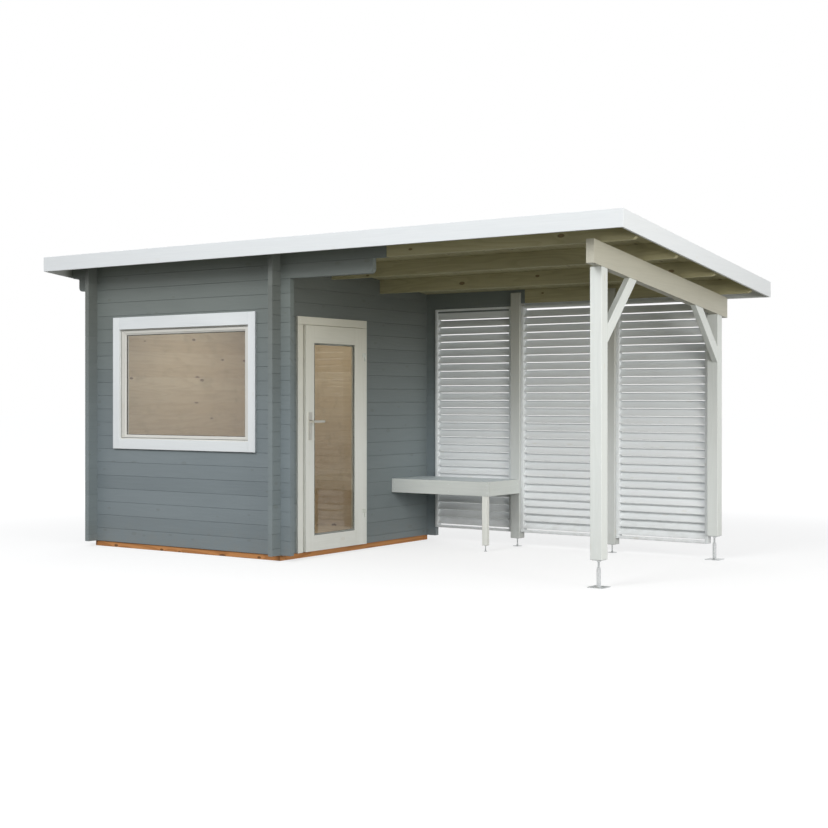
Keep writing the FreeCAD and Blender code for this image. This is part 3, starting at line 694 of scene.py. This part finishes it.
easings = {"posts": 0.004, "bench": 0.003, "casings": 0.0025, "purlins": 0.004, "beams": 0.004, "metal": 0.0008}
for easing, look, grain, nodes in (
        ("posts", creamColours, None, ("post_front_right", "post_back_right")),
        ("posts", shadedMiddleColours, None, ("post_back_middle_1", "post_back_middle_2")),
        ("posts", creamColours, "rising", ("brace_front",)),
        ("posts", creamColours, "falling", ("brace_back",)),
        ("bench", shadedBenchColours, None, ("bench_top",)),
        ("bench", shadedApronColours, None, ("bench_frame",)),
        ("bench", litDoorColours, None, ("bench_leg",)),
        ("casings", litDoorColours, None, ("door_casing", "door_frame", "door_leaf")),
        ("casings", sashColours, None, ("window_frame",)),
        ("casings", casingColours, None, ("window_casing",)),
        ("beams", beamColours, None, ("side_beam",)),
        ("casings", whiteColours, None, ("fascia_front", "fascia_back", "fascia_left", "fascia_right")),
        ("purlins", shadeColours, "x",
         ("purlin_front_veranda", "purlin_back_veranda", "purlin_inner_front", "purlin_inner_back")),
        ("beams", treatedColours, None, ("ground_beams", "floor_bearers")),
        ("metal", nickel, None, ("door_lever", "door_lock_plates")),
        ("metal", coat, None, ("door_hinges_leaf", "door_hinges_frame"))):
    for node in nodes:
        easedCopy(node, easings[easing], look, grain)
print("edges softened")

roof = {"board": 0.096, "thickness": 0.0177, "gap": 0.0006, "easing": 0.0028, "leans": True}
roomFloor = {"board": 0.112, "gap": 0.0008, "easing": 0.0016, "leans": False}
felt = {"strip": 0.98, "lap": 0.1, "lapSlope": 0.04, "thickness": 0.0018, "under": 0.0037, "ripple": 0.00012,
        "across": 141, "down": 17}


def slopeOf(node):  # fall per metre of depth, from the node's own corners
    points = pointsOf(cabin[node].data)
    depth, height = points[:, 1], points[:, 2]
    front, back = depth.min(), depth.max()
    fall = height[depth < front + 1e-4].min() - height[depth > back - 1e-4].min()
    return fall / (back - front)


roofSlope = slopeOf("roof_deck")


def leaned(points, frontY):  # follows the roof's fall from the front edge
    points = points.copy()
    points[:, 2] -= roofSlope * (points[:, 1] - frontY)
    return points


def boardSpans(box, axis, width, gap):  # a box cut into boards of about one width, with a gap between them
    count = round((box[axis + 3] - box[axis]) / width)
    edges = np.linspace(box[axis], box[axis + 3], count + 1)
    spans = np.tile(box, (count, 1))
    spans[:, axis], spans[:, axis + 3] = edges[:-1] + gap / 2, edges[1:] - gap / 2
    return spans


def layBoards(name, node, box, look, sizes, along):  # boards side by side over a box
    spans = boardSpans(box, 1 - along, sizes["board"], sizes["gap"])
    points, faces, numbers = easedBoards(spans, along, sizes["easing"])
    if sizes["leans"]:
        points = leaned(points, box[1])
    standsFor(putMesh(name, points, faces, timberMaterial(look, "xy"[along]), node, numbers), node)


def makeFelt():
    # Strips across the roof, each over the one below it. A strip is a grid: along the roof, and round its
    # section from the back edge over the top to the front edge and back underneath. Its height is the lap's
    # step, which dies away over a few centimetres, plus a slow ripple.
    x0, y0, _, x1, y1, top = span("roof_felt")
    across = np.linspace(x0, x1, felt["across"])[:, None]
    parts, lowY, highY = [], y1, y1
    while highY > y0:
        highY = max(y0, lowY - felt["strip"])
        depths = np.linspace(lowY, highY, felt["down"])[None, :]
        step = np.clip((depths - (lowY - felt["lap"])) / felt["lapSlope"], 0, 1)
        base = top - felt["under"] + (felt["thickness"] if parts else 0.0) * step
        ripple = felt["ripple"] * (np.sin(across * 9.1 + len(parts)) + np.sin(across * 3.7 + depths * 5))
        upper = base + felt["thickness"] + ripple * (0.5 + 0.5 * (step < 1))
        lower = np.broadcast_to(base, upper.shape)
        heights = np.concatenate([upper, lower[:, ::-1]], 1)
        around = np.concatenate([depths, depths[:, ::-1]], 1)
        points = np.stack(np.broadcast_arrays(across, around, heights), -1).reshape(-1, 3)
        parts.append((leaned(points, y0), capped(felt["across"], around.shape[1]), len(parts)))
        lowY = highY + felt["lap"]
    points, faces, numbers = joined(parts)
    standsFor(putMesh("felt_strips", points, faces, bitumen, "roof_felt", numbers), "roof_felt")


deckBox = span("roof_deck")
deckBox[2] = deckBox[5] - roof["thickness"]
layBoards("roof_boards", "roof_deck", deckBox, shadedDeckColours, roof, 1)
layBoards("floor_boards", "floor", floorBox, pineColours, roomFloor, 0)
makeFelt()
print("roof and floor boarded")

louvre = {"stile": 0.028, "rail": 0.020, "slats": 29, "pitch": 0.0656, "rise": 0.064, "run": 0.050,
          "half": 0.0038, "inset": 0.0015, "gap": 0.0128, "seat": 0.006, "easing": 0.003,
          "logDepth": 0.010, "logGap": 0.001, "headGap": 0.0008}


def slatSection():
    # A thin board with two round edges, leaning back: half circles round both ends of its middle line
    half, inset = louvre["half"], louvre["inset"]
    start = np.array([half, half + inset])
    end = np.array([louvre["run"] - half, louvre["rise"] - half - inset])
    lean = math.atan2(end[1] - start[1], end[0] - start[0])
    turns = np.linspace(0, math.pi, 7) - math.pi / 2 + lean
    nose = half * np.stack([np.cos(turns), np.sin(turns)], -1)
    return np.concatenate([end + nose, start - nose])


def makeLouvre(number):
    node = "louvre_panel_%d" % number
    x0, y0, z0, x1, y1, z1 = span(node)
    left, right, low, high = x0 + louvre["stile"], x1 - louvre["stile"], z0 + louvre["rail"], z1 - louvre["rail"]
    logFoot = span("back_wall")[5] - logs["pitch"]
    if number == 1:  # the wall's top log passes behind this panel's head
        foot, back = logFoot - louvre["logGap"], y0 + louvre["logDepth"] - louvre["headGap"]
        stiles = [[x0, y0, z0, left, y1, foot], [right, y0, z0, x1, y1, foot],
                  [x0, y0, foot, left, back, z1], [right, y0, foot, x1, back, z1]]
    else:
        back = y1
        stiles = [[x0, y0, z0, left, y1, z1], [right, y0, z0, x1, y1, z1]]
    rails = [[left, y0, z0, right, y1, low], [left, y0, high, right, back, z1]]
    parts = [(*easedBoards(stiles, 2, louvre["easing"])[:2], 1), (*easedBoards(rails, 0, louvre["easing"])[:2], 2)]
    slat = slatSection()
    for place in range(louvre["slats"]):
        foot = low + louvre["gap"] + place * louvre["pitch"]
        section = slat + [y0 + (y1 - y0 - louvre["run"]) / 2, foot]
        if number == 1 and foot + louvre["rise"] > logFoot:
            section[:, 0] = np.minimum(section[:, 0], y0 + louvre["logDepth"] - louvre["logGap"])
        ends = left - louvre["seat"], right + louvre["seat"]
        parts.append((*carried(section, *ends, 0), 3 + place + 40 * number))
    points, faces, numbers = joined(parts)
    looks = [timberMaterial(louvreColours, "z"), timberMaterial(louvreColours, "x")]
    mesh = meshFrom("louvre_%d" % number, points, faces, looks, numbers)
    lying = numbers[firstCorners(mesh)] > 1.5  # rails and slats
    mesh.polygons.foreach_set("material_index", lying.astype(int))
    standsFor(placed(mesh.name, mesh, node), node)


for number in (1, 2, 3):
    makeLouvre(number)
print("louvre panels made")

glazing = {"seat": 0.012, "bead": 0.013, "thinBead": 0.004, "beadDepth": 0.014,
           "gasket": 0.0035, "gasketDepth": 0.0022, "lap": 0.0005}


def rubberMaterial():  # black sealing strip with dust in it
    material, tree, shader, place = newMaterial("blackRubber")
    dust = noise(tree, place, 180.0, 4.0)
    colour = between(tree, ease(tree, dust, 0.45, 0.8), "#191a1b", "#3a3b3a")
    finishSurface(tree, shader, colour, calc(tree, "MULTIPLY_ADD", dust, 0.3, 0.5), dust, 0.0001)
    return material


rubber = rubberMaterial()


def makeGlazing(name, pane, frame, axis, look):
    # A bead and a rubber line on both sides of a pane, mitred round the opening. A bead's section is its
    # width and depth times the pairs below, and is as deep as the frame stands past the pane.
    box, face = span(pane), span(frame)
    across, up = others(axis)
    low = np.array([box[across], box[up]]) + glazing["seat"]
    high = np.array([box[across + 3], box[up + 3]]) - glazing["seat"]
    g, d, lap = glazing["gasket"], glazing["gasketDepth"], glazing["lap"]
    beads, lines = [], []
    for glassFace, frameFace in ((box[axis], face[axis]), (box[axis + 3], face[axis + 3])):
        way = 1 if frameFace > glassFace else -1
        deep = min(glazing["beadDepth"], abs(frameFace - glassFace) - 0.002)
        wide = glazing["bead"] if deep > 0.005 else glazing["thinBead"]
        bead = [(0.0002, 0.0004), (wide, 0.0004), (wide, deep * 0.3), (wide * 0.75, deep * 0.55),
                (wide * 0.35, deep * 0.92), (wide * 0.12, deep), (0.0002, deep)]
        line = [(wide - lap, 0.0003), (wide + g, 0.0003), (wide + g, d * 0.6), (wide + g * 0.5, d), (wide - lap, d)]
        for section, parts in ((bead, beads), (line, lines)):
            section = [(inward, way * depth) for inward, depth in section]
            parts.append((*mouldedFrame(low, high, glassFace, axis, section), len(parts)))
    for parts, label, like, material in ((beads, "_beads", frame, look), (lines, "_gasket", "roof_felt", rubber)):
        points, faces, numbers = joined(parts)
        putMesh(name + label, points, faces, material, like, numbers, bodyOf[pane])


makeGlazing("window", "window_glass", "window_frame", 1, timberMaterial(sashColours, "x"))
makeGlazing("door", "door_glass", "door_leaf", 0, timberMaterial(litDoorColours, "z"))
shadowSeal = {"inset": 0.0095, "wide": 0.0035, "proud": 0.0008, "side": 0.075, "sill": 0.085, "head": 0.104}


def makeWindowShadowLine():  # dark rubber strip between the fixed frame and the sash, as painted shade for the shadow gap there: a low strip, mitred all round
    casing = span("window_casing")
    inset, wide, proud = shadowSeal["inset"], shadowSeal["wide"], shadowSeal["proud"]
    low = [casing[0] + shadowSeal["side"] + inset, casing[2] + shadowSeal["sill"] + inset]
    high = [casing[3] - shadowSeal["side"] - inset, casing[5] - shadowSeal["head"] - inset]
    section = [(0.0, 0.0003), (0.0, -proud), (wide * 0.5, -proud * 1.3), (wide, -proud), (wide, 0.0003)]
    points, faces = mouldedFrame(low, high, span("window_frame")[1], 1, section)
    putMesh("window_shadow_line", points, faces, rubber, "roof_felt")


makeWindowShadowLine()
print("glazing beads, gaskets and seal made")

screw = {"radius": 0.0042, "proud": 0.0006, "recess": 0.0019, "deep": 0.0014}


def screwHead(place, axis, way):  # a low dome with a six-lobed recess
    r, p, q, d = (screw[key] for key in ("radius", "proud", "recess", "deep"))
    rows = [(r * 0.9, -0.0006, 0), (r, p * 0.15, 0), (r * 0.86, p * 0.85, 0), (q * 1.25, p, 0), (q, p * 0.8, 1),
            (q * 0.92, p - d, 1)]
    return turned(rows, place, axis, way, 24, starLobes)


def hingeFeet():  # undersides of the two hinges, from the frame side's own points
    heights = pointsOf(cabin["door_hinges_frame"].data)[:, 2]
    middle = (heights.min() + heights.max()) / 2
    return [heights.min(), heights[heights > middle].min()]


def braceScrews(node, way, heads):  # two at the post and two at the beam, on the brace's outer face
    b, face = span(node), span("side_beam")[3]
    foot, head = (b[1], b[4]) if way > 0 else (b[4], b[1])
    return [(face, foot + way * 0.022, b[2] + 0.060), (face, foot + way * 0.060, b[2] + 0.098),
            (face, head - way * 0.075, b[5] - heads[0]), (face, head - way * 0.118, b[5] - heads[1])]


def screwPlaces():  # (set, axis that they point along, way, places)
    found = [("painted", 0, 1, braceScrews("brace_front", 1, (0.030, 0.055))),
             ("painted", 0, 1, braceScrews("brace_back", -1, (0.055, 0.075)))]
    b = span("window_casing")
    for x in (b[0] + 0.0375, b[3] - 0.0375):
        found.append(("painted", 1, -1, [(x, b[1], z) for z in np.linspace(b[2] + 0.05, b[5] - 0.05, 4)]))
    b = span("door_casing")
    for y in (b[1] + 0.03, b[4] - 0.03):
        found.append(("painted", 0, 1, [(b[3], y, z) for z in np.linspace(b[2] + 0.12, b[5] - 0.03, 4)]))
    wing, strap = (span(node)[3] + 0.0033 for node in ("door_casing", "door_leaf"))  # faces of the hinge plates
    for foot in hingeFeet():
        frameSide, leafSide = span("door_hinges_frame")[4] - 0.009, span("door_hinges_leaf")[1] + 0.009
        found.append(("cabin", 0, 1, [(wing, frameSide, foot + z) for z in (0.009, 0.026)]))
        found.append(("door", 0, 1, [(strap, leafSide, foot + 0.0355 + z) for z in (0.009, 0.026)]))
    b = span("door_lock_plates")
    for x, way in ((b[3], 1), (b[0], -1)):
        found.append(("door", 0, way, [(x, (b[1] + b[4]) / 2, z) for z in (b[2] + 0.014, b[5] - 0.014)]))
    for node in ("louvre_panel_1", "louvre_panel_2", "louvre_panel_3"):
        b = span(node)
        for x in (b[0] + louvre["stile"] / 2, b[3] - louvre["stile"] / 2):
            found.append(("painted", 1, -1, [(x, b[1], z) for z in np.linspace(b[2] + 0.08, b[5] - 0.08, 4)]))
    b = span("bench_frame")
    rows = (b[2] + 0.03, b[5] - 0.03)
    found.append(("painted", 1, -1, [(x, b[1], z) for x in (b[3] - 0.014, b[3] - 0.40, b[0] + 0.03) for z in rows]))
    found.append(("painted", 0, 1, [(b[3], y, z) for y in (b[4] - 0.03, b[1] + 0.014) for z in rows]))
    return found


def makeScrews():
    places = screwPlaces()
    for name, body, like, material in (("cabin", "cabin", "corner_post_feet", zinc),
                                       ("door", "door", "door_lever", nickel),
                                       ("painted", "cabin", "window_casing", timberMaterial(casingColours, "x"))):
        points, faces, numbers = joined([(*screwHead(place, axis, way), 0) for chosen, axis, way, some in places
                                         if chosen == name for place in some])
        putMesh("screws_" + name, points, faces, material, like, numbers, body)


makeScrews()
print("screws set")

threads = {"depth": 0.0007, "perTurn": 5, "columns": 20}
cornerFeet = {"plate": 0.060, "plateThickness": 0.005, "cap": 0.035, "capThickness": 0.004, "easing": 0.0012,
              "tube": 0.015, "tubeTop": 0.125, "rod": 0.008, "pitch": 0.002, "nut": 0.015, "nutHeight": 0.010}
smallFeet = {"pitch": 0.0015, "upperNut": 0.008, "lowerNut": 0.006, "plateTop": 0.004,
             "places": (("post_back_middle_1", 0.042, 0.005), ("post_back_middle_2", 0.042, 0.005),
                        ("bench_leg", 0.015, 0.004))}  # node, plate's radius, rod's radius


def threadedRod(x, y, z0, z1, radius, pitch):
    # A screw thread: radius = rod's radius minus the thread's depth times a triangle wave of (height / pitch
    # minus turn), so the ridge climbs one pitch each time round
    rows = max(8, int((z1 - z0) / pitch * threads["perTurn"]))
    height = np.linspace(z0, z1, rows)[:, None]
    angle = np.arange(threads["columns"])[None, :] * 2 * math.pi / threads["columns"]
    wave = (height / pitch - angle / (2 * math.pi)) % 1.0
    r = radius - threads["depth"] * np.abs(2 * wave - 1)
    points = np.stack(np.broadcast_arrays(x + r * np.cos(angle), y + r * np.sin(angle), height), -1)
    return points.reshape(-1, 3), capped(rows, threads["columns"])


def nut(x, y, z, radius, height):
    slope, waist = radius * 0.14, radius * 0.86
    rows = [(waist, 0, 0.1), (radius, slope, 1), (radius, height - slope, 1), (waist, height, 0.1)]
    return turned(rows, (x, y, z), 2, 1, 36, sixSided)


def putFeet(name, node, shapes):
    points, faces, numbers = joined([(*shape[:2], 0) for shape in shapes])
    standsFor(putMesh(name, points, faces, zinc, node, numbers), node)


def postFoot(node):  # middle of a post and the height of its underside
    b = span(node)
    return (b[0] + b[3]) / 2, (b[1] + b[4]) / 2, b[2] - 0.0003


def makeFeet():
    f, shapes = cornerFeet, []
    for node in ("post_front_right", "post_back_right"):
        x, y, lift = postFoot(node)
        top, r, end = lift - f["capThickness"], f["tube"], f["tubeTop"]
        plate, cap = f["plate"], f["cap"]
        shapes.append(easedBoards([[x - plate, y - plate, 0, x + plate, y + plate, f["plateThickness"]],
                                   [x - cap, y - cap, top, x + cap, y + cap, lift]], 2, f["easing"]))
        tube = [(r + 0.0035, 0.005, 0), (r + 0.0025, 0.0072, 0), (r + 0.0002, 0.0088, 0), (r, 0.012, 0),
                (r, end - 0.0015, 0), (r - 0.0007, end, 0), (0.0095, end, 0), (0.0088, end - 0.0015, 0)]
        shapes.append(turned(tube, (x, y, 0), 2, 1, 32))  # from the weld at its foot up to its rim
        shapes.append(threadedRod(x, y, end - 0.002, top, f["rod"], f["pitch"]))
        shapes.append(nut(x, y, top - 0.0004 - f["nutHeight"], f["nut"], f["nutHeight"]))
        shapes.append(nut(x, y, end + 0.0004, f["nut"], f["nutHeight"]))
    putFeet("feet_corner", "corner_post_feet", shapes)
    f, shapes = smallFeet, []
    for node, plate, rod in f["places"]:
        x, y, lift = postFoot(node)
        dish = [(plate * 0.98, 0, 0), (plate, 0.001, 0), (plate * 0.97, 0.003, 0),
                (plate * 0.6, 0.004, 0), (rod * 1.6, 0.0045, 0), (rod * 1.2, 0.008, 0)]
        shapes.append(turned(dish, (x, y, 0), 2, 1, 36))
        shapes.append(threadedRod(x, y, f["plateTop"], lift, rod, f["pitch"]))
        shapes.append(nut(x, y, lift - 0.0003 - f["upperNut"], rod * 2, f["upperNut"]))
        shapes.append(nut(x, y, 0.008, rod * 2, f["lowerNut"]))
    putFeet("feet_small", "small_feet", shapes)


lock = {"below": 0.147, "half": 0.0042, "foot": 0.0265, "head": 0.004, "sunk": 0.0004, "proud": 0.0030,
        "easing": 0.0012}


def makeLock():  # cylinder with its key slot on both plates, below the lever
    plates = span("door_lock_plates")
    middle, height = (plates[1] + plates[4]) / 2, plates[5] - lock["below"]
    rows = [(0.0100, -0.0005, 0), (0.0100, 0.0012, 0), (0.0092, 0.0020, 0), (0.0085, 0.0021, 0),
            (0.0083, 0.0034, 0), (0.0078, 0.0038, 0), (0.0030, 0.0038, 0), (0.0026, 0.0015, 0)]
    parts = []
    for x, way in ((plates[3], 1), (plates[0], -1)):
        near, far = sorted((x - way * lock["sunk"], x + way * lock["proud"]))
        body = [near, middle - lock["half"], height - lock["foot"], far, middle + lock["half"], height - lock["head"]]
        parts.append((*turned(rows, (x, middle, height), 0, way, 36), 0))
        parts.append((*easedBoards([body], 2, lock["easing"])[:2], 0))
    points, faces, numbers = joined(parts)
    putMesh("lock_cylinder", points, faces, nickel, "door_lever", numbers, "door")


makeFeet()
makeLock()
print("feet and lock made")

view = {"place": (6.8099, -9.5254, 1.2835), "turn": 34.6554, "focal": 1397.02, "picture": 828.0, "horizon": 398.8}
camera = bpy.data.cameras.new("camera")
camera.sensor_width = 36.0
camera.lens = camera.sensor_width * view["focal"] / view["picture"]
camera.shift_y = (view["horizon"] - view["picture"] / 2) / view["picture"]
camera.clip_end = 200.0
cameraObject = addObject("camera", camera)
cameraObject.location = view["place"]
cameraObject.rotation_euler = (math.radians(90), 0.0, math.radians(view["turn"]))
bpy.context.scene.camera = cameraObject
bpy.context.scene.view_settings.view_transform = "Standard"

studio = {"floorSize": 160.0, "floorColour": (0.97, 0.97, 0.97, 1.0), "floorBounce": "#5a594f",
          "floorLift": 0.62, "liftNear": 1.06, "liftFar": 1.25, "near": 3.6, "far": 7.5,
          "sky": 0.62, "skyColour": (0.97, 0.985, 1.0, 1.0), "white": (1.0, 1.0, 1.0, 1.0)}


def seenRay(tree):  # 1 for rays that the camera, a gloss or a pane sends out, 0 for light on its way to a surface
    path = addNode(tree, "LightPath")
    seen = calc(tree, "MAXIMUM", path["Is Camera Ray"], path["Is Glossy Ray"])
    return calc(tree, "MAXIMUM", seen, path["Is Transmission Ray"])


def makeStage():
    half = studio["floorSize"] / 2
    mesh = bpy.data.meshes.new("studioFloor")
    mesh.from_pydata([(-half, -half, 0), (half, -half, 0), (half, half, 0), (-half, half, 0)], [], [(0, 1, 2, 3)])
    floor = addObject("studioFloor", mesh)
    material = bpy.data.materials.new("studioFloor")
    material.use_nodes = True
    tree = material.node_tree
    tree.nodes.clear()
    seen = seenRay(tree)
    bounce = addNode(tree, "BsdfDiffuse", {"Color": tint(studio["floorBounce"])})[0]
    pale = addNode(tree, "BsdfDiffuse", {"Color": studio["floorColour"]})[0]
    place = addNode(tree, "TexCoord")["Object"]
    reach = addNode(tree, "VectorMath", {0: place}, operation="LENGTH")["Value"]
    away = ease(tree, reach, studio["near"], studio["far"])  # the lamps light the floor less further out
    strength = mixValue(tree, away, studio["liftNear"], studio["liftFar"])
    lift = addNode(tree, "Emission", {"Color": studio["white"], "Strength": strength})[0]
    shown = addNode(tree, "MixShader", {0: studio["floorLift"], 1: pale, 2: lift})[0]
    surface = addNode(tree, "MixShader", {0: seen, 1: bounce, 2: shown})[0]
    addNode(tree, "OutputMaterial", {"Surface": surface})
    mesh.materials.append(material)
    world = bpy.data.worlds.new("studioWorld")
    bpy.context.scene.world = world
    world.use_nodes = True
    tree = world.node_tree
    tree.nodes.clear()
    soft = addNode(tree, "Background", {"Color": studio["skyColour"], "Strength": studio["sky"]})[0]
    white = addNode(tree, "Background", {"Color": studio["white"], "Strength": 1.0})[0]
    both = addNode(tree, "MixShader", {0: seenRay(tree), 1: soft, 2: white})[0]
    addNode(tree, "OutputWorld", {"Surface": both})


lamps = {  # place, aimed at, size, watts, colour
    "keyLamp": ((0.6, -9.5, 7.2), (0.3, 0.0, 1.1), 5.0, 618.0, (0.98, 0.99, 1.0)),
    "sideLamp": ((10.5, -3.5, 2.2), (0.5, 0.3, 1.0), 4.0, 480.0, (1.0, 0.99, 0.96)),
    "backLamp": ((-6.5, 8.0, 4.5), (0.0, 0.0, 1.0), 6.0, 170.0, (0.98, 0.99, 1.0)),
    "roomLamp": ((-1.4, 0.0, 2.15), (-1.4, 0.0, 0.0), 1.2, 12.0, (1.0, 0.97, 0.92)),
}


def makeLamps():
    for name, (place, target, size, watts, colour) in lamps.items():
        lamp = bpy.data.lights.new(name, "AREA")
        lamp.shape, lamp.size, lamp.energy, lamp.color = "DISK", size, watts, colour
        holder = addObject(name, lamp)
        holder.location = place
        way = np.array(target) - np.array(place)
        flat = math.hypot(way[0], way[1])
        holder.rotation_euler = (math.atan2(flat, -way[2]), 0.0, math.atan2(way[1], way[0]) - math.pi / 2)
        holder.visible_camera = holder.visible_glossy = holder.visible_transmission = False


makeStage()
makeLamps()
print("camera, floor and lamps placed")
